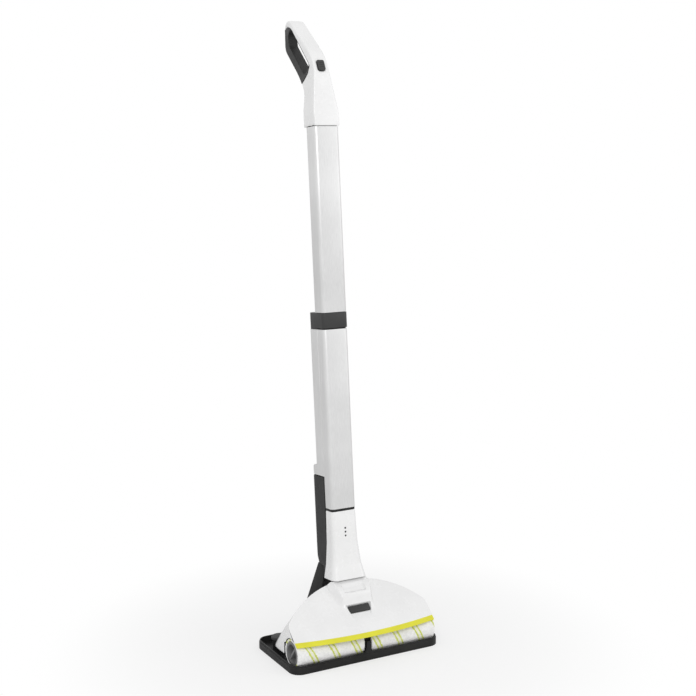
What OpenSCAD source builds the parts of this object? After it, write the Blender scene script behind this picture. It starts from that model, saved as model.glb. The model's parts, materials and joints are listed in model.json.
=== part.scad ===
// Cordless floor mop with two driven rollers, standing in its cleaning and parking tray.
// The origin is on the floor under the middle of the tray. +X is right seen from the front,
// +Y is the back, +Z is up, and all lengths are in millimetres.

/* [Tray] */
// Width of the tray
tray_w = 312; // [300:1:375]
// Depth of the tray from front to back
tray_d = 165; // [160:1:200]
// Radius of the tray's corners
tray_corner_r = 21; // [16:1:22]
// Thickness of the tray's floor
tray_floor = 2.9; // [2:0.1:4]
// Height of the tray's rim
tray_rim_h = 16; // [12:0.5:20]
// Thickness of the tray's rim wall
tray_rim_t = 3; // [2:0.5:3]
// Height of the drying posts above the floor under the tray
post_h = 28; // [20:1:34]
// Radius of a drying post's cap
post_cap_r = 16.5; // [13:0.5:17]

/* [Rollers] */
// Outer radius of the roller covers
roller_r = 27.3; // [24:0.1:28]
// Distance from the middle of the machine to a roller's outer end
roller_end_x = 146; // [125:1:147]
// Gap between the two rollers, where the gear case hangs
roller_gap = 14.4; // [14:0.1:18]
// Thickness of the microfibre on its sleeve
cover_t = 5; // [3:0.1:6]
// Radius of the steel axle
axle_r = 4; // [3:0.1:5]

/* [Head] */
// Half width of the head cover
hood_half_w = 147; // [140:1:152]
// Radius of the head cover's round upper edge
hood_arc_r = 190; // [180:1:200]
// Radius of the dome that the cover's face follows
dome_r = 1010; // [800:10:1400]
// Wall thickness of the head's shells
wall = 2.6; // [2:0.1:3.2]
// Height of the head cover's lower edge above the floor
hood_low_z = 56.5; // [56:0.5:60]
// Width of the yellow strip below the cover
strip_h = 7; // [5:0.5:8]

/* [Shaft] */
// Backward lean of the shaft in degrees
lean = 5.23; // [4.5:0.05:6]
// Width of the tubes
tube_w = 52.3; // [46:0.1:58]
// Wall thickness of the tubes
tube_t = 1.8; // [1.4:0.1:2.4]
// Distance along the shaft to the seam between head and neck
seam_s = 133; // [131:0.5:136]
// Distance along the shaft to the lower tube's bottom end
lower_tube_s = 267; // [260:1:275]
// Distance along the shaft to the collar's bottom
collar_s = 607; // [560:1:720]
// Height of the collar
collar_h = 30.5; // [26:0.5:36]
// Length of the upper tube
upper_tube_len = 343.5; // [300:0.5:420]
// Running clearance between pieces that move past each other
run_gap = 0.4; // [0.3:0.05:0.6]
// Clearance between pieces that are fixed to each other
seat_gap = 0.15; // [0.1:0.05:0.3]

/* [Hidden] */
$fn = 64;

// Axes of the drive
roller_y = -51.7;
roller_z = tray_floor + 0.3 + roller_r;
roller_clear_r = roller_r + 0.9;
gear_module = 1;
axle_teeth = 28;
idler_teeth = 24;
pinion_teeth = 10;
train_angle = 45;
gear_w = 5;
pitch_axle = gear_module * axle_teeth / 2;
pitch_idler = gear_module * idler_teeth / 2;
pitch_pinion = gear_module * pinion_teeth / 2;
idler_at = pitch_axle + pitch_idler;
pinion_at = idler_at + pitch_idler + pitch_pinion;
idler_pin_r = 2.5;
shaft_r = 1.5;
bush_r = 7;
case_half_w = roller_gap / 2 - 1.2;
case_r = pitch_axle + 3;
case_wall = 2.3;
motor_r = 14;
motor_len = 56;

// The head's slanted joint face: its foot, and the drop of the round edge's centre below it
face_y = -65;
face_z = 54;
arc_drop = hood_arc_r - 105;
shoulder_r = 22;
gasket_t = 1.8;
gasket_w = 3.5;
tub_depth = 8;
tub_low_v = 16;

// The swivel between head and neck, in shaft coordinates
swivel_n = 2;
tower_r = 10;
tower_bore_r = 7.5;
tower_top_s = seam_s + 22;
seat_r = 17;
ridge_half_w = 36.5;
ridge_front_n = -24;

// Sections of the tubes, in shaft coordinates
tube_half_w = tube_w / 2;
front_n = -9.5;
split_n = 16.3;
upper_rear_n = 29;
tank_rear_n = 55;
bulge_rear_n = 69;
spine_rear_n = 70;
spine_split_n = split_n + 0.1;
spine_top_s = 325;
spine_low_s = 152;
spine_low_n = 36;
collar_top_s = collar_s + collar_h;
upper_tube_s = collar_top_s + 0.7;
handle_s = upper_tube_s + upper_tube_len;
handle_low_half_w = tube_half_w + 0.1;
handle_top_half_w = 15.5;
insert_gap = 0.3;
cell_r = 9.1;
cell_len = 65;
bulge_top_s = 346;
tank_bottom_s = spine_top_s + 2;

switch_s = handle_s + 112;
switch_half_w = 7;
switch_half_h = 10;
switch_tilt = 22;
switch_n = 3.2;

prop_front_y = 62;
prop_rear_y = 81;
prop_top_s = spine_low_s - 0.7;

// ---------- general helpers ----------

// Points of a closed outline whose corners [x, y, radius] are rounded with arcs
function unit(v) = v / norm(v);
function corner_arc(a, b, c, r, steps) =
    let (u = unit([a[0] - b[0], a[1] - b[1]]), w = unit([c[0] - b[0], c[1] - b[1]]))
    let (half = acos(u * w) / 2, reach = r / tan(half), mid = unit(u + w))
    let (centre = [b[0], b[1]] + mid * r / sin(half))
    let (p = [b[0], b[1]] + u * reach - centre, q = [b[0], b[1]] + w * reach - centre)
    let (from = atan2(p[1], p[0]), turn = atan2(p[0] * q[1] - p[1] * q[0], p * q))
    [for (i = [0:steps]) centre + r * [cos(from + turn * i / steps), sin(from + turn * i / steps)]];
function rounded_path(corners, steps = 8) =
    let (n = len(corners))
    [for (i = [0:n - 1])
        let (b = corners[i])
        each b[2] == 0 ? [[b[0], b[1]]]
            : corner_arc(corners[(i + n - 1) % n], b, corners[(i + 1) % n], b[2], steps)];

module rounded_rect(x0, x1, y0, y1, low_r, high_r = -1) {
    top_r = high_r < 0 ? low_r : high_r;
    polygon(rounded_path([[x0, y0, low_r], [x1, y0, low_r], [x1, y1, top_r], [x0, y1, top_r]]));
}

// Places its children in shaft coordinates: X, n to the back, s up along the shaft
module on_shaft() rotate([-lean, 0, 0]) children();

// Places its children on the head's slanted joint face: X, v up the slope, w outwards
module on_face() translate([0, face_y, face_z]) rotate([45, 0, 0]) children();

// A slab of the shaft between two distances along it
module slab(s0, s1) translate([0, 0, s0]) linear_extrude(s1 - s0) children();

// Joins neighbouring sections [s, half width, front n, rear n, front radius, rear radius]
module loft(sections) {
    thin = 0.1;
    for (i = [0:len(sections) - 2])
        hull()
            for (q = [sections[i], sections[i + 1]])
                slab(q[0] - thin, q[0]) rounded_rect(-q[1], q[1], q[2], q[3], q[4], q[5]);
}

// A cylinder along X from x0 to x1, at a place in the side view
module rod_x(x0, x1, y, z, r) translate([x0, y, z]) rotate([0, 90, 0]) cylinder(h = x1 - x0, r = r);

module both_sides() {
    children();
    mirror([1, 0, 0]) children();
}

// ---------- station ----------

module tray_outline(inset) {
    r = tray_corner_r - inset;
    rounded_rect(-tray_w / 2 + inset, tray_w / 2 - inset, -tray_d / 2 + inset, tray_d / 2 - inset, r);
}

foot_x = tray_w / 2 - 30;
foot_y = tray_d / 2 - 22;
foot_r = 9;
foot_t = 1.4;
post_x = 124;
post_y = 42;
post_stem_r = post_cap_r - 3;
post_cap_t = 5;
tongue_half_w = 5;
tongue_top_z = 37;
tongue_foot_half_w = 8.5;

module tray() color([0.11, 0.11, 0.11]) {
    difference() {
        union() {
            linear_extrude(tray_rim_h - 3) tray_outline(0);
            translate([0, 0, tray_rim_h - 3]) linear_extrude(3) tray_outline(1);
        }
        translate([0, 0, tray_floor]) linear_extrude(tray_rim_h) tray_outline(tray_rim_t);
        for (sx = [-1, 1], sy = [-1, 1])
            translate([sx * foot_x, sy * foot_y, -1]) cylinder(h = foot_t + 1, r = foot_r + seat_gap);
    }
    // tongue between the rollers, rising from the front rim
    translate([0, -tray_d / 2 + 6.3, 0]) rotate([90, 0, 0]) linear_extrude(5.5)
        polygon(rounded_path([
            [-tongue_foot_half_w - 4, 1, 0], [tongue_foot_half_w + 4, 1, 0],
            [tongue_foot_half_w, tray_rim_h - 1, 2.5], [tongue_half_w, tray_rim_h + 5, 8],
            [tongue_half_w - 0.6, tongue_top_z, 3.5], [-tongue_half_w + 0.6, tongue_top_z, 3.5],
            [-tongue_half_w, tray_rim_h + 5, 8], [-tongue_foot_half_w, tray_rim_h - 1, 2.5]]));
}

module drying_posts() color([0.16, 0.16, 0.16])
    for (sx = [-1, 1]) translate([sx * post_x, post_y, tray_floor + seat_gap]) {
        stem_h = post_h - tray_floor - seat_gap - post_cap_t;
        cylinder(h = stem_h, r = post_stem_r);
        translate([0, 0, stem_h]) cylinder(h = post_cap_t - 1.2, r = post_cap_r);
        translate([0, 0, stem_h]) cylinder(h = post_cap_t, r = post_cap_r - 1.5);
    }

// Wedge behind the head that the parked machine leans on
module prop_body(inset, top_s) {
    base_z = tray_floor + seat_gap;
    hull() {
        translate([-52 + inset, 54 + inset, base_z]) cube([104 - 2 * inset, 1, 1]);
        translate([-74 + inset, prop_rear_y - 4 - inset, base_z]) cube([148 - 2 * inset, 1, 1]);
        on_shaft() {
            translate([-13 + inset, 49.5 + inset, top_s - 1]) cube([26 - 2 * inset, 1, 1]);
            translate([-21 + inset, 66 - inset, top_s - 1]) cube([42 - 2 * inset, 1, 1]);
        }
    }
}

module rear_prop() color([0.13, 0.13, 0.13]) {
    difference() {
        prop_body(0, prop_top_s);
        translate([0, -7, -6]) prop_body(4, prop_top_s);
        translate([-100, 40, -10]) cube([200, 60, 10 + tray_floor + seat_gap]);
    }
    translate([-60, prop_rear_y - 24, tray_floor + seat_gap]) cube([120, 18, 3]);
}

module tray_feet() color([0.2, 0.2, 0.2])
    for (sx = [-1, 1], sy = [-1, 1])
        translate([sx * foot_x, sy * foot_y, 0]) cylinder(h = foot_t - seat_gap, r = foot_r);

// ---------- head ----------

// D-shaped outline of the head, seen square to its slanted joint face
module d_outline(inset, low_v = -30) {
    cx = hood_half_w - shoulder_r;
    cv = -arc_drop + sqrt(pow(hood_arc_r - shoulder_r, 2) - cx * cx);
    meet = atan2(cv + arc_drop, cx);
    r = shoulder_r - inset;
    big_r = hood_arc_r - inset;
    right = concat(
        [[hood_half_w - inset, low_v]],
        [for (i = [0:6]) [cx + r * cos(meet * i / 6), cv + r * sin(meet * i / 6)]],
        [for (i = [1:12]) let (a = meet + (90 - meet) * i / 12)
            [big_r * cos(a), -arc_drop + big_r * sin(a)]]);
    left = [for (i = [len(right) - 2:-1:0]) [-right[i][0], right[i][1]]];
    polygon(concat(right, left));
}

module dome(inset)
    translate([0, -arc_drop, -sqrt(pow(dome_r, 2) - pow(hood_arc_r, 2))])
        sphere(r = dome_r - inset, $fn = 240);

module roller_space() rod_x(-roller_end_x - 20, roller_end_x + 20, roller_y, roller_z, roller_clear_r);

module seat_space() on_shaft() translate([0, swivel_n, seam_s - 60]) cylinder(h = 80, r = seat_r + 0.8);

module above(z) translate([-300, -300, z]) cube([600, 600, 400]);

// The raised middle of the cover, between the neck's seam and the latch
module ridge(inset) {
    hull() {
        on_shaft() slab(seam_s - 3, seam_s - 0.4 - inset)
            rounded_rect(-ridge_half_w + inset, ridge_half_w - inset, ridge_front_n + inset, -8, 10, 1);
        on_face() translate([0, 74, 6]) linear_extrude(8.5 - inset)
            rounded_rect(-40 + inset, 40 - inset, -3, 3, 2.5);
        on_face() translate([0, 44, 2]) linear_extrude(9.3 - inset)
            rounded_rect(-31 + inset, 31 - inset, -3, 3, 2.5);
    }
}

recess_half_w = 22;
latch_half_w = 22;
latch_v = 33;
latch_h = 13;

module hood() color([0.95, 0.95, 0.95])
    difference() {
        union() {
            intersection() {
                on_face() intersection() {
                    linear_extrude(40) d_outline(0);
                    dome(0);
                }
                above(hood_low_z);
            }
            ridge(0);
        }
        on_face() intersection() {
            translate([0, 0, -1]) linear_extrude(40) d_outline(wall);
            dome(wall);
        }
        ridge(wall);
        roller_space();
        seat_space();
        // finger recess under the seam, and the latch's window
        on_face() translate([-recess_half_w, 69, 11]) cube([2 * recess_half_w, 17, 20]);
        on_face() translate([-latch_half_w - run_gap, latch_v - run_gap, 0])
            cube([2 * (latch_half_w + run_gap), latch_h + 2 * run_gap, 30]);
    }

module dirty_tank() color([0.75, 0.77, 0.78])
    difference() {
        on_face() difference() {
            translate([0, 0, -tub_depth]) linear_extrude(tub_depth - seat_gap)
                intersection() {
                    d_outline(gasket_w + wall);
                    translate([-200, tub_low_v]) square([400, 200]);
                }
            translate([0, 0, -tub_depth + 2]) linear_extrude(tub_depth)
                intersection() {
                    d_outline(gasket_w + 2 * wall);
                    translate([-200, tub_low_v + 2]) square([400, 200]);
                }
        }
        roller_space();
        seat_space();
    }

module tank_gasket() color([0.18, 0.19, 0.2])
    difference() {
        on_face() translate([0, 0, -gasket_t - seat_gap]) linear_extrude(gasket_t) difference() {
            d_outline(0.4, 4);
            d_outline(gasket_w, 0);
        }
        roller_space();
        seat_space();
    }

// Yellow lip below the cover's lower edge
module squeegee_strip() color([0.89, 0.87, 0.24])
    difference() {
        on_face() intersection() {
            translate([0, 0, -10]) linear_extrude(40) d_outline(0.5);
            dome(0.2);
        }
        on_face() intersection() {
            translate([0, 0, -11]) linear_extrude(41) d_outline(wall + 0.1);
            dome(wall + 0.1);
        }
        above(hood_low_z - seat_gap);
        translate([-300, -300, -100]) cube([600, 600, hood_low_z - strip_h + 100]);
        roller_space();
        translate([-300, roller_y, 0]) cube([600, 200, 100]);
    }

latch_top_w = 10.3;
module hood_latch() color([0.22, 0.23, 0.24]) on_face() {
    translate([-latch_half_w, latch_v, latch_top_w - 4]) cube([2 * latch_half_w, latch_h, 4.6]);
    translate([-6, latch_v + 3, 2.4]) cube([12, 7, latch_top_w - 6]);
}

module latch_spring() color([0.7, 0.7, 0.72]) on_face()
    translate([0, latch_v + 6.5, -tub_depth + 2 + seat_gap])
        rotate_extrude() for (i = [0:7]) translate([3, 0.5 + i]) circle(r = 0.55);

// White back of the head, with the round seat that the neck turns on
module rear_profile(inset)
    polygon(rounded_path([
        [-110 + inset, 8 + inset, 0], [16 - inset, 8 + inset, 8], [24 - inset, 40, 30],
        [24 - inset, 112, 22], [14, 133 - inset, 6], [-110, 133 - inset, 0]]));

module rear_body(inset, back)
    intersection() {
        on_face() translate([0, 0, -95]) linear_extrude(back + 95) d_outline(inset);
        translate([200, 0, 0]) rotate([90, 0, -90]) mirror([1, 0, 0]) linear_extrude(400)
            rear_profile(inset);
        translate([-200, -22 - 5 * inset, 0]) cube([400, 200, 200]);
    }

module rear_cap(inset)
    intersection() {
        on_face() translate([0, 0, -45]) linear_extrude(45 - gasket_t - 2 * seat_gap) d_outline(inset);
        translate([-200, -70, 44]) cube([400, 52, 90]);
    }

module rear_shell() color([0.94, 0.94, 0.94])
    difference() {
        union() {
            difference() {
                union() {
                    rear_body(0, -gasket_t - 2 * seat_gap);
                    rear_cap(0);
                }
                rear_body(wall, 5);
                translate([0, 2, 0]) rear_cap(wall);
                on_face() translate([0, 0, -9]) linear_extrude(30) d_outline(wall);
                translate([-200, -80, -10]) cube([400, 140, 10 + 20]);
                translate([-case_half_w - 1, -90, -10]) cube([2 * case_half_w + 2, 90, 95]);
            }
            on_shaft() translate([0, swivel_n, seam_s - 38]) cylinder(h = 37.4, r = seat_r);
        }
        on_shaft() translate([0, swivel_n, 0]) cylinder(h = 400, r = tower_r + seat_gap);
        roller_space();
    }

module head_chassis() color([0.14, 0.14, 0.14]) {
    plate_z = 14.5;
    edge_x = hood_half_w - wall - 1.5;
    difference() {
        union() {
            translate([-edge_x, -20, plate_z]) cube([2 * edge_x, 36, 3]);
            translate([-edge_x, -20, plate_z]) cube([2 * edge_x, 2.5, 20]);
            on_shaft() translate([0, swivel_n, plate_z + 2]) cylinder(h = tower_top_s - plate_z - 2, r = tower_r);
            // saddle that carries the gear case
            translate([-case_half_w, 0, 0]) rotate([90, 0, 90]) linear_extrude(2 * case_half_w)
                polygon([[-19, plate_z + 1], [-8, plate_z + 1], [-8, saddle_z(-8)], [-19, saddle_z(-19)]]);
        }
        on_shaft() translate([0, swivel_n, 30]) cylinder(h = 400, r = tower_bore_r);
    }
}
function saddle_z(y) = roller_z + (y - roller_y) - case_r * sqrt(2) - seat_gap * 2;

// ---------- drive ----------

module gear_outline(teeth, phase) {
    r = gear_module * teeth / 2;
    root_r = r - 1.25;
    tip_r = r + 0.9;
    pitch_half = 0.62;
    root_half = 0.92;
    tip_half = 0.3;
    circle(r = root_r);
    for (i = [0:teeth - 1]) rotate(phase + i * 360 / teeth)
        polygon([[root_r - 0.4, -root_half], [r, -pitch_half], [tip_r, -tip_half],
            [tip_r, tip_half], [r, pitch_half], [root_r - 0.4, root_half]]);
}

// Places children at a distance along the gear train, with the side view's axes as X and Y
module on_train(at, x0)
    translate([x0, roller_y + at * cos(train_angle), roller_z + at * sin(train_angle)])
        rotate([90, 0, 90]) children();

module axle_gear() color([0.85, 0.85, 0.8]) on_train(0, -gear_w / 2)
    linear_extrude(gear_w) difference() {
        gear_outline(axle_teeth, train_angle);
        circle(r = axle_r + 0.02);
    }

module idler_gear() color([0.85, 0.85, 0.8]) on_train(idler_at, -gear_w / 2)
    linear_extrude(gear_w) difference() {
        gear_outline(idler_teeth, train_angle + 180 / idler_teeth);
        circle(r = idler_pin_r + 0.05);
    }

module motor_pinion() color([0.75, 0.76, 0.78]) {
    on_train(pinion_at, -gear_w / 2) linear_extrude(gear_w) gear_outline(pinion_teeth, train_angle);
    on_train(pinion_at, -case_half_w - 1.7) cylinder(h = case_half_w + 1, r = shaft_r);
}

// One half of the gear case, drawn for the right-hand side
module case_half() {
    inner_r = case_r - 1.5;
    module capsule(r) {
        circle(r = r);
        translate([pinion_at, 0]) circle(r = r);
        translate([0, -r]) square([pinion_at, 2 * r]);
    }
    difference() {
        on_train(0, 0.1) rotate(train_angle) linear_extrude(case_half_w - 0.1) capsule(case_r);
        on_train(0, -1) rotate(train_angle) linear_extrude(1 + case_half_w - case_wall) capsule(inner_r);
        on_train(0, -1) cylinder(h = 20, r = bush_r + 0.02);
        on_train(idler_at, -1) cylinder(h = 20, r = idler_pin_r + 0.02);
        on_train(pinion_at, -1) cylinder(h = 20, r = shaft_r + 0.3);
    }
}

module gear_case_right() color([0.2, 0.2, 0.21]) case_half();
module gear_case_left() color([0.2, 0.2, 0.21]) mirror([1, 0, 0]) case_half();

module axle_bushes() color([0.75, 0.6, 0.35]) both_sides()
    on_train(0, case_half_w - case_wall) linear_extrude(case_wall) difference() {
        circle(r = bush_r);
        circle(r = axle_r + 0.05);
    }

module idler_pin() color([0.72, 0.73, 0.75])
    on_train(idler_at, -case_half_w) cylinder(h = 2 * case_half_w, r = idler_pin_r);

module drive_motor() color([0.6, 0.61, 0.63]) difference() {
    union() {
        on_train(pinion_at, -case_half_w - seat_gap - motor_len) cylinder(h = motor_len, r = motor_r);
        on_train(pinion_at, -case_half_w - seat_gap - motor_len - 3) cylinder(h = 4, r = 4);
    }
    on_train(pinion_at, -case_half_w - 4) cylinder(h = 10, r = shaft_r + 0.3);
}

module roller_axle() color([0.75, 0.76, 0.78]) {
    rod_x(-62, 62, roller_y, roller_z, axle_r);
    both_sides() on_train(0, 52) rotate(45) translate([0, 0, 4]) cube([11, 11, 8], center = true);
}

sleeve_r = roller_r - cover_t;
sleeve_inner_r = sleeve_r - 2.5;
module sleeve() color([0.55, 0.56, 0.57]) {
    x0 = roller_gap / 2;
    difference() {
        rod_x(x0, roller_end_x - 5, roller_y, roller_z, sleeve_r);
        rod_x(x0 + 3, roller_end_x, roller_y, roller_z, sleeve_inner_r);
        rod_x(0, 200, roller_y, roller_z, axle_r + 0.2);
    }
    difference() {
        rod_x(50, 62, roller_y, roller_z, sleeve_inner_r + 0.3);
        on_train(0, 56) rotate(45) cube([11.4, 11.4, 20], center = true);
    }
}
module right_sleeve() sleeve();
module left_sleeve() mirror([1, 0, 0]) sleeve();

module cover() color([0.94, 0.94, 0.93]) difference() {
    rod_x(roller_gap / 2, roller_end_x, roller_y, roller_z, roller_r);
    rod_x(-10, 200, roller_y, roller_z, sleeve_r + 0.05);
}
module right_cover() cover();
module left_cover() mirror([1, 0, 0]) cover();

// End cap with a bar across its cup, to turn and pull the roller by
module end_cap() color([0.42, 0.43, 0.43]) {
    cap_r = sleeve_r - 0.2;
    difference() {
        union() {
            rod_x(roller_end_x - 4.8, roller_end_x - 0.5, roller_y, roller_z, cap_r);
            rod_x(roller_end_x - 22, roller_end_x - 4.8, roller_y, roller_z, sleeve_inner_r - 0.1);
        }
        rod_x(roller_end_x - 19, roller_end_x + 1, roller_y, roller_z, cap_r - 5);
    }
    on_train(0, roller_end_x - 19.5) rotate(-52) translate([-cap_r + 4, -2, 0])
        cube([2 * cap_r - 8, 4, 17.5]);
}
module right_end_cap() end_cap();
module left_end_cap() mirror([1, 0, 0]) end_cap();

module scraper_blades() color([0.3, 0.3, 0.31]) both_sides()
    translate([roller_gap / 2 + 1, -23.9, 24]) cube([hood_half_w - 14, 3.75, 10]);

module water_hose() color([0.8, 0.82, 0.84])
    on_shaft() translate([0, swivel_n, 31]) difference() {
        cylinder(h = seam_s + 12, r = 6.8);
        translate([0, 0, -1]) cylinder(h = seam_s + 20, r = 4.8);
    }

// ---------- neck ----------

neck_low_s = seam_s + 0.5;
neck_top_s = lower_tube_s - 4.7;
function neck_sections(inset, rear) = [
    for (q = [[neck_low_s, 36.5, ridge_front_n, 12], [160, 31.2, -17, 10],
            [200, 27.6, -11.6, 8], [neck_top_s, tube_half_w, front_n, 8]])
        [q[0], q[1] - inset, q[2] + inset, rear, max(q[3] - inset, 1), 1]];

module led_place(i) on_shaft() translate([0, 0, 229.5 - 7.3 * i]) rotate([-90, 0, 0]) children();

module neck_cover() color([0.95, 0.95, 0.95])
    difference() {
        on_shaft() {
            difference() {
                loft(neck_sections(0, spine_split_n));
                loft(neck_sections(wall, spine_split_n + 5));
                translate([0, 0, neck_top_s - 1]) linear_extrude(5)
                    rounded_rect(-tube_half_w + wall, tube_half_w - wall, front_n + wall, 60, 5, 1);
                translate([0, 0, neck_low_s - 4]) linear_extrude(5)
                    rounded_rect(-34, 34, ridge_front_n + wall, 60, 8, 1);
            }
            for (x = [-11, 11], q = [[186, -12.4], [250, -8.6]])
                translate([x, q[1], q[0]]) rotate([-90, 0, 0]) cylinder(h = -5.2 - q[1], r = 2.5);
        }
        for (i = [0:2]) led_place(i) translate([0, 0, -20]) cylinder(h = 20, r = 1.75);
    }

module led_lenses() color([0.16, 0.17, 0.18])
    for (i = [0:2]) led_place(i) translate([0, 0, -10.8]) cylinder(h = 5.6, r = 1.6);

module control_board() color([0.1, 0.35, 0.2]) on_shaft()
    translate([-16, -5.05, 180]) cube([32, 1.6, 76]);

module neck_base() color([0.16, 0.16, 0.16]) on_shaft() difference() {
    union() {
        slab(neck_low_s, neck_low_s + 3)
            rounded_rect(-31, 31, ridge_front_n + wall + 3, spine_split_n - 0.4, 9, 1);
        translate([0, swivel_n, neck_low_s]) cylinder(h = 16, r = tower_r + 4);
    }
    translate([0, swivel_n, 0]) cylinder(h = 400, r = tower_r + 0.05);
}

// Black back of the neck; its underside sits over the tray's prop
module spine() color([0.13, 0.13, 0.14]) on_shaft() difference() {
    spine_body(0);
    spine_body(wall);
    slab(100, spine_top_s - wall) translate([-tube_half_w + wall, 0]) square([2 * (tube_half_w - wall), 25]);
    for (sx = [-1, 1], s = screw_places) translate([sx * tube_half_w, screw_n, s])
        rotate([0, 90, 0]) cylinder(h = 2.4, r = 2.6, center = true);
    translate([0, 50, jack_s]) rotate([-90, 0, 0]) cylinder(h = 40, r = jack_r + 0.1);
}

screw_places = [265, 305];
screw_n = 40;

module spine_body(inset) intersection() {
    half = tube_half_w - inset;
    low_n = spine_split_n + 0.3;
    translate([-100, 0, 0]) rotate([90, 0, 90]) linear_extrude(200) polygon([
        [low_n, neck_low_s + inset], [spine_low_n - inset, neck_low_s + inset],
        [spine_low_n - inset, spine_low_s + inset], [54 - inset, spine_low_s + inset],
        [62 - inset, 168], [spine_rear_n - inset, 196],
        [spine_rear_n - inset, spine_top_s - inset], [low_n, spine_top_s - inset]]);
    slab(100, 400) rounded_rect(-half, half, low_n - 1, spine_rear_n - inset, 0.5, 14);
}

jack_s = 226;
jack_r = 5.5;
module charging_jack() color([0.25, 0.25, 0.26]) on_shaft()
    translate([0, 51, jack_s]) rotate([-90, 0, 0]) difference() {
        union() {
            cylinder(h = 18.6, r = jack_r);
            cylinder(h = 16, r = jack_r + 2);
        }
        translate([0, 0, 8]) cylinder(h = 20, r = 3.2);
        translate([0, 0, 7]) cylinder(h = 2, r = 3.2);
    }

module spine_screws() color([0.5, 0.5, 0.52]) on_shaft()
    for (sx = [-1, 1], s = screw_places) translate([sx * (tube_half_w - 1.15), screw_n, s])
        rotate([0, sx * 90, 0]) difference() {
            cylinder(h = 1, r = 2.4);
            translate([0, 0, 0.5]) cube([0.8, 3.6, 1.2], center = true);
        }

module neck_ring() color([0.08, 0.08, 0.08]) on_shaft()
    slab(neck_top_s + 0.1, lower_tube_s - 0.1) difference() {
        rounded_rect(-tube_half_w + 0.5, tube_half_w - 0.5, front_n + 0.5, split_n, 7.5, 1);
        rounded_rect(-tube_half_w + 4, tube_half_w - 4, front_n + 4, split_n - 3, 4, 1);
    }

// ---------- lower tube ----------

module lower_tube() color([0.82, 0.83, 0.84]) on_shaft()
    slab(lower_tube_s, collar_s - 0.5) difference() {
        rounded_rect(-tube_half_w, tube_half_w, front_n, split_n, 8, 1.5);
        rounded_rect(-tube_half_w + tube_t, tube_half_w - tube_t, front_n + tube_t, split_n - tube_t, 6, 0.5);
    }

cell_n = (front_n + split_n) / 2;
module cell_places() for (sx = [-1, 1], i = [0, 1])
    translate([sx * (cell_r + 1), cell_n, lower_tube_s + 6 + i * (cell_len + 2)]) children();

module battery_cells() color([0.2, 0.45, 0.7]) on_shaft() cell_places() cylinder(h = cell_len, r = cell_r);

module battery_holder() color([0.25, 0.25, 0.27]) on_shaft() difference() {
    slab(lower_tube_s + 0.3, lower_tube_s + 2 * cell_len + 12)
        rounded_rect(-tube_half_w + tube_t + insert_gap, tube_half_w - tube_t - insert_gap,
            front_n + tube_t + insert_gap, split_n - tube_t - insert_gap, 5.5, 0.5);
    cell_places() translate([0, 0, -0.2]) cylinder(h = cell_len + 0.4, r = cell_r + 0.2);
    slab(lower_tube_s + 3, lower_tube_s + 2 * cell_len + 9) square([60, 8], center = true);
}

cap_n = 35;
cap_r = 11;
tank_top_s = collar_s - 0.6;
tank_low_n = split_n + run_gap;

module tank_body(inset) {
    half = tube_half_w - inset;
    low_n = tank_low_n + inset;
    low_s = tank_bottom_s + inset;
    slab(low_s, tank_top_s - inset) rounded_rect(-half, half, low_n, tank_rear_n - inset, 1.5, 14 - inset);
    intersection() {
        translate([-100, 0, 0]) rotate([90, 0, 90]) linear_extrude(200) polygon([
            [low_n + 5, low_s], [bulge_rear_n - inset, low_s], [bulge_rear_n - inset, bulge_top_s - 10],
            [tank_rear_n - inset, bulge_top_s], [low_n + 5, bulge_top_s]]);
        slab(low_s, bulge_top_s) rounded_rect(-half, half, low_n, bulge_rear_n - inset, 1.5, 14 - inset);
    }
}

module clean_tank() color([0.8, 0.81, 0.82]) on_shaft() difference() {
    tank_body(0);
    difference() {
        tank_body(2);
        translate([0, cap_n, tank_top_s - 12]) cylinder(h = 20, r = cap_r + 2.3);
    }
    translate([0, cap_n, tank_top_s - 8.9]) cylinder(h = 20, r = cap_r + 0.3);
    translate([0, cap_n, tank_top_s - 14]) cylinder(h = 20, r = cap_r - 3);
}

module fill_cap() color([0.2, 0.2, 0.21]) on_shaft() translate([0, cap_n, tank_top_s - 8.8]) difference() {
    cylinder(h = 8.6, r = cap_r);
    translate([0, 0, 6.5]) difference() {
        cylinder(h = 5, r = cap_r - 2);
        translate([-15, -1.2, 0]) cube([30, 2.4, 5]);
    }
}

module collar() color([0.24, 0.25, 0.26]) on_shaft() difference() {
    union() {
        slab(collar_s + 2, collar_top_s)
            rounded_rect(-tube_half_w - 0.4, tube_half_w + 0.4, front_n - 0.4, upper_rear_n + 0.4, 8, 9);
        slab(collar_s, collar_top_s)
            rounded_rect(-tube_half_w - 0.4, tube_half_w + 0.4, split_n, tank_rear_n - 3, 2, 13);
    }
    slab(collar_s - 1, collar_top_s + 1) insert_outline(-seat_gap);
    slab(collar_s + 3, collar_top_s - 3)
        rounded_rect(-tube_half_w + 2.5, tube_half_w - 2.5, upper_rear_n + 1, tank_rear_n - 6, 1, 9);
}

// Outline of the insert that holds the two tubes together
module insert_outline(inset) rounded_rect(-tube_half_w + tube_t + insert_gap + inset,
    tube_half_w - tube_t - insert_gap - inset, front_n + tube_t + insert_gap + inset,
    upper_rear_n - tube_t - insert_gap - inset, 5.5, 6);

module coupling_insert() color([0.3, 0.3, 0.31]) on_shaft() {
    low_s = collar_s - 45;
    difference() {
        union() {
            slab(collar_s + 0.2, upper_tube_s + 60) insert_outline(0);
            slab(low_s, collar_s + 1)
                rounded_rect(-tube_half_w + tube_t + insert_gap, tube_half_w - tube_t - insert_gap,
                    front_n + tube_t + insert_gap, split_n - tube_t - insert_gap, 5.5, 0.5);
        }
        slab(collar_s + 4, upper_tube_s + 61) insert_outline(2);
        slab(low_s - 1, collar_s + 8)
            rounded_rect(-tube_half_w + 4.1, tube_half_w - 4.1, front_n + 4.1, split_n - 4.1, 3.5, 0.5);
    }
}

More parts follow.
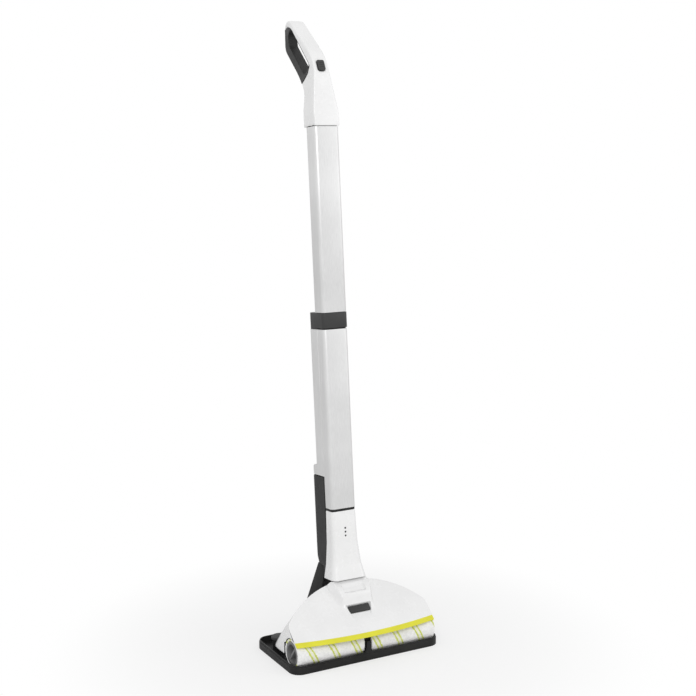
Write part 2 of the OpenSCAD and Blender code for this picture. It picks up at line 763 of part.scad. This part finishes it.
socket_s = upper_tube_s + 40;
module contact_socket() color([0.1, 0.1, 0.11]) on_shaft() {
    difference() {
        slab(socket_s, socket_s + 12) insert_outline(2.2);
        translate([0, 9, socket_s + 4]) cylinder(h = 20, r = 5);
    }
}

// ---------- upper tube and handle ----------

module upper_tube() color([0.84, 0.85, 0.86]) on_shaft()
    slab(upper_tube_s, handle_s) difference() {
        rounded_rect(-tube_half_w, tube_half_w, front_n, upper_rear_n, 8, 9);
        rounded_rect(-tube_half_w + tube_t, tube_half_w - tube_t, front_n + tube_t, upper_rear_n - tube_t, 6, 7);
    }

module handle_insert() color([0.3, 0.3, 0.31]) on_shaft()
    slab(handle_s - 40, handle_s + 30) difference() {
        insert_outline(0);
        insert_outline(2);
    }

// Side outlines of the handle, with n to the right and s above the tube's end
handle_corners = [
    [-12, 0.4, 0], [-12, 14, 100], [3.3, 123, 80], [97, 209, 12], [117, 203, 17], [119.5, 156, 24],
    [34, 65.7, 45], [34, 0.4, 0]];
loop_corners = [[21, 113, 7], [91, 191, 8], [104, 181, 9], [102, 162, 10], [43, 99, 7]];

module handle_side() polygon(rounded_path(handle_corners, 14));

// Everything behind this outline is the black grip
module grip_zone() polygon([[21, 113], [28, 103], [50.5, 83.5], [75, 70], [160, 140], [160, 196],
    [118, 194], [104, 196], [91, 191]]);

module side_prism(half_w) translate([-half_w, 0, handle_s]) rotate([90, 0, 90]) linear_extrude(2 * half_w)
    children();

// Front outline of the handle, narrowing from the tube to the loop
module handle_front(inset)
    translate([0, 200, handle_s]) rotate([90, 0, 0]) linear_extrude(400)
        polygon(rounded_path([
            [handle_low_half_w - inset, 0, 0], [handle_low_half_w - inset, 30, 90],
            [handle_top_half_w - inset, 106, 90], [handle_top_half_w - inset, 220, 0],
            [-handle_top_half_w + inset, 220, 0], [-handle_top_half_w + inset, 106, 90],
            [-handle_low_half_w + inset, 30, 90], [-handle_low_half_w + inset, 0, 0]]));

module loop_ring(outset) {
    // the loop's opening, widened by the liner's thickness
    k = [for (c = loop_corners) [c[0], c[1], c[2] + outset]];
    mid = [71, 148];
    polygon(rounded_path([for (c = k)
        let (d = unit([c[0], c[1]] - mid)) [c[0] + d[0] * outset * 1.2, c[1] + d[1] * outset * 1.2, c[2]]]));
}

module switch_frame() on_shaft() translate([0, switch_n, switch_s]) rotate([90 - switch_tilt, 0, 0]) children();

module switch_block(grow, depth_low, depth_high) switch_frame()
    translate([0, 0, -depth_low]) linear_extrude(depth_low + depth_high)
        rounded_rect(-switch_half_w - grow, switch_half_w + grow, -switch_half_h - grow,
            switch_half_h + grow, 2.5);

module handle_shell() color([0.96, 0.96, 0.96]) difference() {
    on_shaft() difference() {
        intersection() {
            side_prism(60) difference() {
                handle_side();
                loop_ring(2);
                for (shift = [0, 2 * seat_gap]) translate([shift, shift]) grip_zone();
            }
            handle_front(0);
        }
        // hollow of the handle's root, which takes the insert, the switch and the cable
        translate([0, 0, handle_s - 1]) linear_extrude(36) insert_outline(-seat_gap);
        translate([0, 0, handle_s + 34]) linear_extrude(38) rounded_rect(-18, 18, -1, 26, 4);
    }
    switch_block(0.3, 14, 10);
}

module handle_grip() color([0.15, 0.15, 0.16]) on_shaft() intersection() {
    side_prism(60) difference() {
        intersection() {
            handle_side();
            union() {
                translate([seat_gap, seat_gap]) grip_zone();
                loop_ring(1.85);
            }
        }
        loop_ring(0);
    }
    handle_front(0.3);
}

module power_switch() color([0.2, 0.21, 0.21]) difference() {
    switch_block(0, 5, 2.2);
    switch_frame() for (i = [-1:1]) translate([-5, i * 4 - 0.4, 1.6]) cube([10, 0.8, 2]);
}

module switch_unit() color([0.12, 0.12, 0.13]) switch_block(0, 13.8, -9.5);

module switch_spring() color([0.7, 0.7, 0.72]) switch_frame() translate([0, 0, -9.3])
    rotate_extrude() for (i = [0:4]) translate([3, 0.5 + 0.8 * i]) circle(r = 0.5);

cable_r = 1.8;
module signal_cable() color([0.1, 0.1, 0.1]) on_shaft()
    translate([0, 9, socket_s + 30.2]) cylinder(h = handle_s + 71.8 - socket_s - 30.2, r = cable_r);

module contact_plug() color([0.12, 0.12, 0.13]) on_shaft() {
    translate([0, 9, socket_s + 4.2]) cylinder(h = 10, r = 4.6);
    slab(socket_s + 12.4, socket_s + 30) rounded_rect(-12, 12, 1, 17, 2);
}

tray();
drying_posts();
rear_prop();
tray_feet();
head_chassis();
rear_shell();
gear_case_left();
gear_case_right();
axle_bushes();
idler_pin();
drive_motor();
scraper_blades();
water_hose();
roller_axle();
axle_gear();
left_sleeve();
right_sleeve();
left_cover();
right_cover();
left_end_cap();
right_end_cap();
idler_gear();
motor_pinion();
hood();
dirty_tank();
tank_gasket();
squeegee_strip();
hood_latch();
latch_spring();
neck_cover();
spine();
neck_base();
neck_ring();
led_lenses();
control_board();
battery_cells();
battery_holder();
lower_tube();
collar();
coupling_insert();
contact_socket();
charging_jack();
spine_screws();
clean_tank();
fill_cap();
upper_tube();
handle_shell();
handle_grip();
handle_insert();
power_switch();
switch_spring();
switch_unit();
signal_cable();
contact_plug();
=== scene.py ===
# %% [markdown]
# # A cordless roller mop in its cleaning tray
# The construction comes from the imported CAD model, which is loaded first and never changed.
# Blender adds what the eye looks for: soft edges, gloss, brushed metal and a striped pile.
# All lengths are in metres. X is right seen from the front, Y is the back and Z is up.

# %% Load the frame
import json
from math import pi, radians, sin, sqrt

import bpy
from mathutils import Matrix, Vector


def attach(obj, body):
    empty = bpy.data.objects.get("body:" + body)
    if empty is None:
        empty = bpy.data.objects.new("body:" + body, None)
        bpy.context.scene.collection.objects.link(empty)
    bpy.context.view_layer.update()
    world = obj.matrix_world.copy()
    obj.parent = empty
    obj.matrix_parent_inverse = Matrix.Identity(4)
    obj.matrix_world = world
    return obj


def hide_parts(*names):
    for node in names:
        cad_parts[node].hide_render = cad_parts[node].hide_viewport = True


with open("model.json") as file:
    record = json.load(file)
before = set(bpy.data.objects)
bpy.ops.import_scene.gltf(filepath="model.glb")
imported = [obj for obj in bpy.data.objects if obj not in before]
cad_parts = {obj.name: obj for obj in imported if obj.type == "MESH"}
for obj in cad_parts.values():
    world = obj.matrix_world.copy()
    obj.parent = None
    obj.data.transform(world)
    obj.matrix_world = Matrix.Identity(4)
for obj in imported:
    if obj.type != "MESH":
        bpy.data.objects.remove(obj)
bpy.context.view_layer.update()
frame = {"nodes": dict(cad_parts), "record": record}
nodes = frame["nodes"]
slot_of = {row["node"]: row["material_slot"] for row in frame["record"]["subparts"]}
body_with = {n: b for b, names in frame["record"]["behaviour"]["bodies"].items() for n in names}
MM = 0.001
print("loaded", len(nodes), "nodes")

# %% [markdown]
# ## The camera
# The machine is seen from the front left and from a little above, from over two metres away,
# so a long lens keeps the shaft's edges nearly parallel.

# %% Camera
AZIMUTH = -28.94
PITCH_DOWN = 9.537
bpy.ops.object.select_all(action="DESELECT")
bpy.ops.object.camera_add(location=(-1.1319, -2.0471, 0.9688))
camera = bpy.context.object
camera.rotation_euler = (radians(90 - PITCH_DOWN), 0, radians(AZIMUTH))
camera.data.sensor_width = 36
camera.data.lens = 66.72
bpy.context.scene.camera = camera
print("camera at", tuple(round(c, 3) for c in camera.location))

# %% [markdown]
# ## Two slanted frames
# The shaft leans back by a few degrees, and the head's joint face slopes at 45 degrees.
# Places on them are easier to name along their own axes, so two small functions turn such
# a place into the shared frame.

# %% Slanted frames
LEAN = radians(5.23)
SHAFT_TURN = Matrix.Rotation(-LEAN, 4, "X")
FACE_TURN = Matrix.Translation((0, -65 * MM, 54 * MM)) @ Matrix.Rotation(radians(45), 4, "X")
ROLLER_Y = -51.7 * MM
ROLLER_Z = 30.5 * MM


HANDLE_S = 981.7


def soft_step(low, high, value):
    """0 below low, 1 above high, with a smooth change between; low may be the greater."""
    t = min(max((value - low) / (high - low), 0.0), 1.0)
    return t * t * (3 - 2 * t)


def on_shaft(x, n, s):
    return SHAFT_TURN @ Vector((x * MM, n * MM, s * MM))


def on_face(x, v, w):
    return FACE_TURN @ Vector((x * MM, v * MM, w * MM))


print("seam middle", on_shaft(0, -24, 133))

# %% [markdown]
# ## Maths on sockets
# A shader pattern is a formula. This small class wraps a node's output, so that a formula is
# written as Python arithmetic, and one method adds any other node.

# %% Shader helper
class Socket:
    def __init__(self, shader, out):
        self.shader = shader
        self.out = out

    def _math(self, operation, a, b=None):
        values = [a] if b is None else [a, b]
        return self.shader.node("ShaderNodeMath", {"operation": operation}, values)

    def __add__(self, other):
        return self._math("ADD", self, other)

    __radd__ = __add__

    def __mul__(self, other):
        return self._math("MULTIPLY", self, other)

    __rmul__ = __mul__

    def __sub__(self, other):
        return self._math("SUBTRACT", self, other)

    def __rsub__(self, other):
        return self._math("SUBTRACT", other, self)

    def __truediv__(self, other):
        return self._math("DIVIDE", self, other)

    def fract(self):
        return self._math("FRACT", self)

    def absolute(self):
        return self._math("ABSOLUTE", self)

    def angle_to(self, other):
        return self._math("ARCTAN2", self, other)

    def smooth(self, low, high):
        return self.shader.node("ShaderNodeMapRange", {"interpolation_type": "SMOOTHSTEP"},
                                {"Value": self, "From Min": low, "From Max": high})


class Shader:
    """A material with one Principled BSDF; node() adds anything else."""

    def __init__(self, name, **constants):
        self.material = bpy.data.materials.new(name)
        self.material.use_nodes = True
        self.tree = self.material.node_tree
        self.surface = self.tree.nodes["Principled BSDF"]
        for key, value in constants.items():
            self.surface.inputs[key.replace("_", " ")].default_value = value
        self.place = self.node("ShaderNodeTexCoord", out="Object")

    def node(self, kind, settings=None, values=None, out=0):
        made = self.tree.nodes.new(kind)
        for key, value in (settings or {}).items():
            if key == "stops":
                ramp = made.color_ramp
                while len(ramp.elements) < len(value):
                    ramp.elements.new(0.5)
                for element, (at, colour) in zip(ramp.elements, value):
                    element.position = at
                    element.color = colour
            else:
                setattr(made, key, value)
        rows = values.items() if isinstance(values, dict) else enumerate(values or [])
        for key, value in rows:
            if isinstance(value, Socket):
                self.tree.links.new(value.out, made.inputs[key])
            else:
                made.inputs[key].default_value = value
        return Socket(self, made.outputs[out])

    def set(self, name, socket):
        self.tree.links.new(socket.out, self.surface.inputs[name])

    def axes(self):
        split = self.node("ShaderNodeSeparateXYZ", None, [self.place])
        return [Socket(self, out) for out in split.out.node.outputs]

    def stretched(self, x=1, y=1, z=1, turn=0.0):
        return self.node("ShaderNodeMapping", None,
                         {"Vector": self.place, "Scale": (x, y, z), "Rotation": (turn, 0, 0)})

    def noise(self, scale, detail=3.0, vector=None, roughness=0.5):
        return self.node("ShaderNodeTexNoise", None,
                         {"Vector": vector or self.place, "Scale": scale, "Detail": detail,
                          "Roughness": roughness})

    def mix(self, factor, a, b):
        return self.node("ShaderNodeMix", {"data_type": "RGBA"}, {0: factor, 6: a, 7: b}, out=2)

    def bump(self, height, distance, strength=0.4):
        values = {"Height": height, "Distance": distance, "Strength": strength}
        self.set("Normal", self.node("ShaderNodeBump", None, values))


def grey(level, tint=(1, 1, 1)):
    return (level * tint[0], level * tint[1], level * tint[2], 1)


print("shader helper ready")

# %% [markdown]
# ## Moulded plastics
# Gloss white shells are almost plain. What tells the eye that they are moulded is a very slight
# unevenness of tone and gloss and a faint ripple in the reflections. The black mouldings carry
# a fine spark-eroded grain, which is a small dense noise in the bump.

# %% Plastics
def moulded(name, low, high, rough, grain_scale, grain_depth, coat=0.0, tint=(1, 1, 1)):
    shine = 0.5 if high > 0.1 else 0.22
    m = Shader(name, IOR=1.5, Specular_IOR_Level=shine, Coat_Weight=coat, Coat_Roughness=0.08)
    cloud = m.noise(14, 4)
    m.set("Base Color", m.mix(cloud.smooth(0.3, 0.7), grey(low, tint), grey(high, tint)))
    fine = m.noise(grain_scale, 2)
    m.set("Roughness", m.noise(60, 3).smooth(0.2, 0.8) * 0.08 + rough)
    m.bump(fine, grain_depth, 0.35)
    return m.material


finish = {
    "shell_white": moulded("gloss_white_shell", 0.84, 0.88, 0.22, 180, 0.00002, 0.25),
    "tray_black": moulded("black_tray_moulding", 0.012, 0.02, 0.42, 1800, 0.00012),
    "prop_black": moulded("black_post_moulding", 0.02, 0.032, 0.42, 1800, 0.00012),
    "frame_black": moulded("black_frame_moulding", 0.012, 0.02, 0.38, 1600, 0.0001),
    "collar_grey": moulded("dark_grey_moulding", 0.04, 0.055, 0.34, 1500, 0.00008),
    "part_grey": moulded("mid_grey_moulding", 0.14, 0.19, 0.4, 1300, 0.0001),
    "gear_white": moulded("natural_nylon", 0.6, 0.68, 0.45, 900, 0.00005, 0, (1, 1, 0.92)),
    "board_green": moulded("green_board", 0.05, 0.07, 0.35, 900, 0.00004, 0.2, (0.5, 1.6, 0.8)),
    "cell_wrap": moulded("blue_cell_sleeve", 0.2, 0.24, 0.3, 300, 0.00003, 0.3, (0.4, 0.9, 1.5)),
    "lens_smoke": moulded("smoked_lens", 0.02, 0.03, 0.12, 200, 0.00001, 0.5),
    "hose_clear": moulded("soft_hose", 0.5, 0.56, 0.3, 400, 0.00004, 0.2),
}
print(len(finish), "plastics")

# %% [markdown]
# ## Rubber
# Soft parts are duller than plastic, with a wider highlight. The grip has a slightly mottled
# touch coating, and the yellow strip is a satin silicone.

# %% Rubbers
def rubber(name, low, high, rough, tint=(1, 1, 1)):
    m = Shader(name, IOR=1.48, Specular_IOR_Level=0.3)
    m.set("Base Color", m.mix(m.noise(30, 4).smooth(0.3, 0.7), grey(low, tint), grey(high, tint)))
    m.set("Roughness", m.noise(120, 3) * 0.12 + rough)
    m.bump(m.noise(1400, 2), 0.00008, 0.4)
    return m.material


finish["grip_black"] = rubber("soft_touch_grip", 0.016, 0.026, 0.4)
finish["seal_dark"] = rubber("dark_seal_rubber", 0.022, 0.034, 0.5)
finish["foot_rubber"] = rubber("foot_pad_rubber", 0.03, 0.04, 0.6)
finish["strip_yellow"] = rubber("yellow_silicone", 0.66, 0.72, 0.35, (1.08, 1.04, 0.07))
print("rubbers ready")

# %% [markdown]
# ## Metals
# The tubes are drawn aluminium with a satin silver coat: fine streaks run along the shaft,
# so the noise is squeezed across it and stretched along it, after a turn to the shaft's lean.

# %% Metals
def brushed(name, low, high, rough, metal, turn=0.0, along="z", tint=(1, 1, 1)):
    m = Shader(name, Metallic=metal, IOR=1.5)
    scale = {"z": (900, 900, 9), "x": (9, 900, 900)}[along]
    streaks = m.noise(1.0, 2, m.stretched(*scale, turn=turn))
    cloud = m.noise(9, 3)
    m.set("Base Color", m.mix((streaks * 0.5 + cloud * 0.5).smooth(0.35, 0.65),
                              grey(low, tint), grey(high, tint)))
    m.set("Roughness", streaks * 0.12 + rough)
    m.bump(streaks, 0.00002, 0.25)
    return m.material


finish["tube_silver"] = brushed("satin_silver_tube", 0.68, 0.75, 0.3, 0.35, LEAN)
finish["steel"] = brushed("turned_steel", 0.5, 0.6, 0.22, 1.0, 0, "x")
finish["bronze"] = brushed("sintered_bronze", 0.4, 0.5, 0.35, 1.0, 0, "x", (1.1, 0.8, 0.45))
print("metals ready")

# %% [markdown]
# ## The striped microfibre
# Each roller wears a short white pile with thin yellow-green threads, two beside each other,
# that wind round it. A thread's place is the distance along the roller plus a share of the angle
# round it. The fraction of that, wrapped every 45 mm, is compared with two thread centres, and a
# noise breaks the threads into loose stitches.

# %% Microfibre
def microfibre(name):
    m = Shader(name, Sheen_Weight=0.35, Sheen_Roughness=0.5, IOR=1.4)
    x, y, z = m.axes()
    spacing = 45.0 * MM
    rise = 2 * spacing
    angle = (z - ROLLER_Z).angle_to(ROLLER_Y - y)
    ragged = (m.noise(420, 2) - 0.5) * 0.006 + (m.noise(90, 2) - 0.5) * 0.002
    along = ((x + angle * (rise / (2 * pi)) + ragged * 0.8) / spacing + 20.07).fract()
    stripes = None
    for centre in (0.41, 0.61):
        away = (along - centre).absolute()
        thread = 1 - away.smooth(0.022, 0.055)
        stripes = thread if stripes is None else stripes + thread
    halo = 1 - (along - 0.515).absolute().smooth(0.1, 0.15)
    tufts = m.noise(700, 3, m.stretched())
    broken = tufts.smooth(0.3, 0.46)
    threads = stripes * broken
    pile = m.mix(m.noise(260, 4).smooth(0.3, 0.7), (0.82, 0.82, 0.81, 1), (0.93, 0.93, 0.92, 1))
    tinted = m.mix(halo * 0.35, pile, (0.84, 0.86, 0.5, 1))
    m.set("Base Color", m.mix(threads * 0.95, tinted, (0.56, 0.62, 0.02, 1)))
    m.set("Roughness", tufts * 0.15 + 0.8)
    m.bump(tufts * 0.6 + m.noise(240, 3) * 0.4, 0.0012, 0.7)
    return m.material


finish["microfibre"] = microfibre("striped_microfibre")
print("microfibre ready")

# %% [markdown]
# ## Giving the CAD nodes their finish
# Every node takes the finish that the record's slot names, so nothing is left in plain grey. The
# spine screws are the one exception: they are painted nearly black, as painted shade for the dark
# holes they sit in.

# %% Finish the nodes
def paint(piece, slot_name):
    piece.data.materials.clear()
    piece.data.materials.append(finish[slot_name])


# Painted shade: the spine screws get a nearly black colour in place of their slot's finish,
# standing for the shadow inside their holes.
finish["screw_hole_shade"] = brushed("painted_hole_shade_screws", 0.03, 0.05, 0.4, 0.6)
for name, piece in nodes.items():
    paint(piece, "screw_hole_shade" if name == "spine_screws" else slot_of[name])
print("painted", len(nodes), "nodes")

# %% [markdown]
# ## Softening the moulded edges
# A real moulding has no sharp edge. For each visible hard part a copy of its node is merged,
# its flat triangles are dissolved into whole faces, and a bevel rounds every hard edge. The
# piece then stands for its node, which stays in the frame for collision.

# %% Refining helper
def only(piece):
    bpy.ops.object.select_all(action="DESELECT")
    piece.select_set(True)
    bpy.context.view_layer.objects.active = piece


def merged_copy(node, name):
    piece = nodes[node].copy()
    piece.data = nodes[node].data.copy()
    for key in list(piece.keys()):
        del piece[key]
    piece.name = name
    piece.parent = None
    bpy.context.collection.objects.link(piece)
    only(piece)
    bpy.ops.object.mode_set(mode="EDIT")
    bpy.ops.mesh.select_all(action="SELECT")
    bpy.ops.mesh.remove_doubles(threshold=0.00001)
    bpy.ops.object.mode_set(mode="OBJECT")
    return piece


def apply(piece, kind, **settings):
    only(piece)
    modifier = piece.modifiers.new(kind.title(), kind)
    for key, value in settings.items():
        setattr(modifier, key, value)
    bpy.ops.object.modifier_apply(modifier=modifier.name)


def smooth(piece, degrees=35):
    only(piece)
    bpy.ops.object.shade_smooth_by_angle(angle=radians(degrees))


def settle(piece, node_names, slot_name=None):
    first = node_names[0]
    slot_name = slot_name or slot_of[first]
    paint(piece, slot_name)
    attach(piece, body_with[first])
    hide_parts(*node_names)
    return piece


def softened(node, radius_mm, segments=3, limit=32):
    piece = merged_copy(node, "soft_" + node)
    bpy.ops.object.mode_set(mode="EDIT")
    bpy.ops.mesh.select_all(action="SELECT")
    bpy.ops.mesh.dissolve_limited(angle_limit=radians(0.6), delimit=set())
    bpy.ops.object.mode_set(mode="OBJECT")
    apply(piece, "BEVEL", width=radius_mm * MM, segments=segments, limit_method="ANGLE",
          angle_limit=radians(limit), harden_normals=False, use_clamp_overlap=True)
    smooth(piece)
    settle(piece, [node])
    print(node, len(piece.data.polygons), "faces")
    return piece


# %% [markdown]
# ## The plain mouldings and the tubes
# The tray, its posts and prop, the collar, the tubes and the end caps are straight or simply
# curved, so their CAD shape only lacks its soft edge. Each radius is the one its maker would
# give it: over a millimetre on the tray, a third of one on the drawn tubes.

# %% Soften the plain mouldings
for node, radius in (("tray", 1.2), ("drying_posts", 1.0), ("rear_prop", 1.5), ("collar", 0.7),
                     ("lower_tube", 0.3), ("upper_tube", 0.3), ("neck_ring", 0.3),
                     ("clean_tank", 1.0), ("left_end_cap", 0.5), ("right_end_cap", 0.5),
                     ("power_switch", 0.7), ("hood_latch", 0.9)):
    softened(node, radius)

# %% [markdown]
# ## Freely curved shells
# The handle, the neck cover, the spine and the back of the head are curved in two directions,
# with radii that a plain bevel can't reach. A fine voxel skin over the merged copy, relaxed a
# few times, rounds their edges as a mould maker's blend does.

# %% Relaxed shells
LOOP_FRONT_N = 21
LOOP_FRONT_S = 113
BAR_SLIMMER = 0.36
BAR_BOW = 9


def slim_rear_bar(piece):
    """The bar that the fingers close round is slimmer than the front one, and bows back."""
    back = SHAFT_TURN.inverted()
    for vertex in piece.data.vertices:
        x, n, s = [c / MM for c in back @ vertex.co]
        up = s - HANDLE_S
        behind = (n - LOOP_FRONT_N) * 0.744 - (up - LOOP_FRONT_S) * 0.668
        share = soft_step(3, 24, behind) * soft_step(72, 104, up)
        vertex.co = on_shaft(x * (1 - BAR_SLIMMER * share), n + BAR_BOW * share, s)


def relaxed(node, voxel_mm, rounds, factor=0.5):
    piece = merged_copy(node, "shaped_" + node)
    apply(piece, "REMESH", mode="VOXEL", voxel_size=voxel_mm * MM, use_smooth_shade=True)
    apply(piece, "SMOOTH", factor=factor, iterations=rounds)
    if node.startswith("handle"):
        slim_rear_bar(piece)
    settle(piece, [node])
    smooth(piece, 60)
    print(node, len(piece.data.polygons), "faces")
    return piece


for node, voxel, rounds in (("handle_shell", 1.5, 16), ("handle_grip", 0.7, 8),
                            ("neck_cover", 0.9, 8), ("spine", 1.2, 8), ("rear_shell", 1.3, 6)):
    relaxed(node, voxel, rounds)

# %% [markdown]
# ## The pile on the rollers
# The covers' CAD solids are smooth sleeves. Their pile is made by a voxel skin that a cloud
# texture pushes in and out by less than a millimetre, so that the outline is soft too.

# %% Pile
tufts = bpy.data.textures.new("pile_clumps", type="CLOUDS")
tufts.noise_scale = 0.004
tufts.noise_depth = 2
for node in ("left_cover", "right_cover"):
    pile = merged_copy(node, "pile_" + node)
    apply(pile, "REMESH", mode="VOXEL", voxel_size=1.5 * MM, use_smooth_shade=True)
    apply(pile, "SMOOTH", factor=0.5, iterations=3)
    apply(pile, "DISPLACE", texture=tufts, texture_coords="LOCAL",
          strength=1.1 * MM, mid_level=0.62)
    settle(pile, [node])
    smooth(pile, 80)
    print(node, len(pile.data.polygons), "faces")

# %% [markdown]
# ## The head's cover
# The cover is a shallow dome with a D outline. A raised ridge runs down its middle from the
# neck and fades towards the latch, with a finger recess near its top and a scoop below the
# latch. A grid on the slanted face is lifted by one height formula, then given its thickness.

# %% Cover
HALF_W = 147.0
ARC_R = 190.0
ARC_DROP = 85.0
DOME_R = 1010.0
SHOULDER_R = 22.0
RIDGE_LOW_HALF = 30
RIDGE_SPREAD = 8
RIDGE_RISE = 12.5
RIDGE_CROWN = 5.0
RECESS_DEPTH = 3.4
UNDERCUT_DEPTH = 2.0
SCOOP_DEPTH = 2.6
LATCH_SEAT_DEPTH = 3.0


def dome_height(x, v):
    r2 = x * x + (v + ARC_DROP) ** 2
    return sqrt(max(DOME_R ** 2 - r2, 0)) - sqrt(DOME_R ** 2 - ARC_R ** 2)


def cover_height(x, v):
    ridge_half = RIDGE_LOW_HALF + RIDGE_SPREAD * soft_step(45, 95, v)
    ridge = soft_step(ridge_half + 6, ridge_half - 3, abs(x))
    crown = RIDGE_CROWN * soft_step(46, 66, v) * soft_step(97, 72, v)
    height = dome_height(x, v) + (RIDGE_RISE * soft_step(28, 92, v) ** 0.8 + crown) * ridge
    inside = soft_step(23.5, 21.5, abs(x))
    height -= RECESS_DEPTH * soft_step(69, 70.2, v) * soft_step(91, 80, v) * inside
    height -= UNDERCUT_DEPTH * soft_step(69, 69.8, v) * soft_step(72.4, 71, v) * inside
    scoop_half = 13.5 + 0.27 * v
    seat = soft_step(scoop_half, scoop_half - 1.2, abs(x)) * soft_step(47.6, 46.8, v)
    sunk = SCOOP_DEPTH * soft_step(14, 32, v) + LATCH_SEAT_DEPTH * soft_step(31.6, 32.4, v)
    return height - seat * sunk


def outline_half(v):
    """Half width of the D outline at a distance up the slope."""
    cx = HALF_W - SHOULDER_R
    cv = -ARC_DROP + sqrt((ARC_R - SHOULDER_R) ** 2 - cx * cx)
    if v <= cv:
        return HALF_W
    meet = -ARC_DROP + (cv + ARC_DROP) / (ARC_R - SHOULDER_R) * ARC_R
    if v <= meet:
        return cx + sqrt(max(SHOULDER_R ** 2 - (v - cv) ** 2, 0))
    return sqrt(max(ARC_R ** 2 - (v + ARC_DROP) ** 2, 0))


ACROSS = 280
UP = 130
LOW_Z = 56.5
TOP_V = 104.6
SEAM_S = 132.3


def cover_low_v(x):
    """Where the cover's face meets the level of its lower edge."""
    v = -5.0
    for _ in range(12):
        w = cover_height(x, v)
        z = 54 + (v + w) / sqrt(2)
        v += (LOW_Z - z) * sqrt(2)
    return v


def make_cover():
    bpy.ops.object.select_all(action="DESELECT")
    bpy.ops.mesh.primitive_grid_add(x_subdivisions=ACROSS, y_subdivisions=UP, size=2)
    piece = bpy.context.object
    piece.name = "head_cover"
    for vertex in piece.data.vertices:
        u, t = vertex.co.x, (vertex.co.y + 1) / 2
        u = sin(u * pi / 2) * 0.35 + u * 0.65
        t = 1 - (1 - t) ** 1.25
        v_guess = TOP_V * t
        x = u * outline_half(v_guess)
        low = cover_low_v(x) if abs(x) < HALF_W else 0.0
        v = low + (TOP_V - low) * t
        x = u * outline_half(v)
        place = SHAFT_TURN.inverted() @ on_face(x, v, max(cover_height(x, v), 0.0))
        place.z = min(place.z, SEAM_S * MM)
        vertex.co = SHAFT_TURN @ place
    apply(piece, "SOLIDIFY", thickness=2.4 * MM, offset=-1, use_rim=True)
    only(piece)
    bpy.ops.object.mode_set(mode="EDIT")
    bpy.ops.mesh.select_all(action="SELECT")
    bpy.ops.mesh.remove_doubles(threshold=0.00002)
    bpy.ops.mesh.normals_make_consistent(inside=False)
    bpy.ops.object.mode_set(mode="OBJECT")
    apply(piece, "BEVEL", width=0.5 * MM, segments=2, limit_method="ANGLE", angle_limit=radians(60))
    smooth(piece, 40)
    return settle(piece, ["hood"])


cover = make_cover()
print("cover faces", len(cover.data.polygons))

# %% [markdown]
# ## Floor and light
# A pale floor and a white surround keep the outline clean. One large soft lamp from the front
# left models the tubes, a weaker one fills the right, and the surround does the rest.

# %% Floor
bpy.ops.object.select_all(action="DESELECT")
bpy.ops.mesh.primitive_plane_add(size=30, location=(0, 0, -0.0002))
floor = bpy.context.object
floor.name = "floor"
floor_shader = Shader("pale_floor", Roughness=0.9)
floor_shader.set("Base Color", floor_shader.mix(floor_shader.noise(3, 2), grey(0.9), grey(0.92)))
fx, fy, fz = floor_shader.axes()
away = (fx * fx + fy * fy).smooth(0.0, 0.36)
seen = floor_shader.node("ShaderNodeLightPath", out="Is Camera Ray")
glow = floor_shader.node("ShaderNodeEmission", None, {"Color": (1, 1, 1, 1), "Strength": 1.0})
mixed = floor_shader.node("ShaderNodeMixShader", None, [seen * (away * 0.4 + 0.6)])
floor_shader.tree.links.new(floor_shader.surface.outputs[0], mixed.out.node.inputs[1])
floor_shader.tree.links.new(glow.out, mixed.out.node.inputs[2])
sheet_out = floor_shader.tree.nodes["Material Output"]
floor_shader.tree.links.new(mixed.out, sheet_out.inputs["Surface"])
floor.data.materials.append(floor_shader.material)

world = bpy.data.worlds.new("surround")
bpy.context.scene.world = world
world.use_nodes = True
tree = world.node_tree
back = tree.nodes["Background"]
rays = tree.nodes.new("ShaderNodeLightPath")
seen = tree.nodes.new("ShaderNodeMath")
seen.operation = "MAXIMUM"
tree.links.new(rays.outputs["Is Camera Ray"], seen.inputs[0])
tree.links.new(rays.outputs["Is Glossy Ray"], seen.inputs[1])
level = tree.nodes.new("ShaderNodeMix")
level.inputs[2].default_value = 0.62
level.inputs[3].default_value = 1.0
tree.links.new(seen.outputs[0], level.inputs[0])
tree.links.new(level.outputs[0], back.inputs["Strength"])
back.inputs["Color"].default_value = (1, 1, 1, 1)


def soft_lamp(name, place, aim, size, watts):
    bpy.ops.object.select_all(action="DESELECT")
    bpy.ops.object.light_add(type="AREA", location=place)
    lamp = bpy.context.object
    lamp.name = name
    lamp.data.size = size
    lamp.data.energy = watts
    lamp.rotation_euler = (Vector(aim) - Vector(place)).to_track_quat("-Z", "Y").to_euler()


soft_lamp("key_lamp", (-1.6, -2.6, 2.6), (0, 0, 0.5), 2.0, 45)
soft_lamp("fill_lamp", (2.4, -1.8, 1.6), (0, 0, 0.5), 2.0, 14)
bpy.context.scene.view_settings.view_transform = "Standard"
print("stage set")
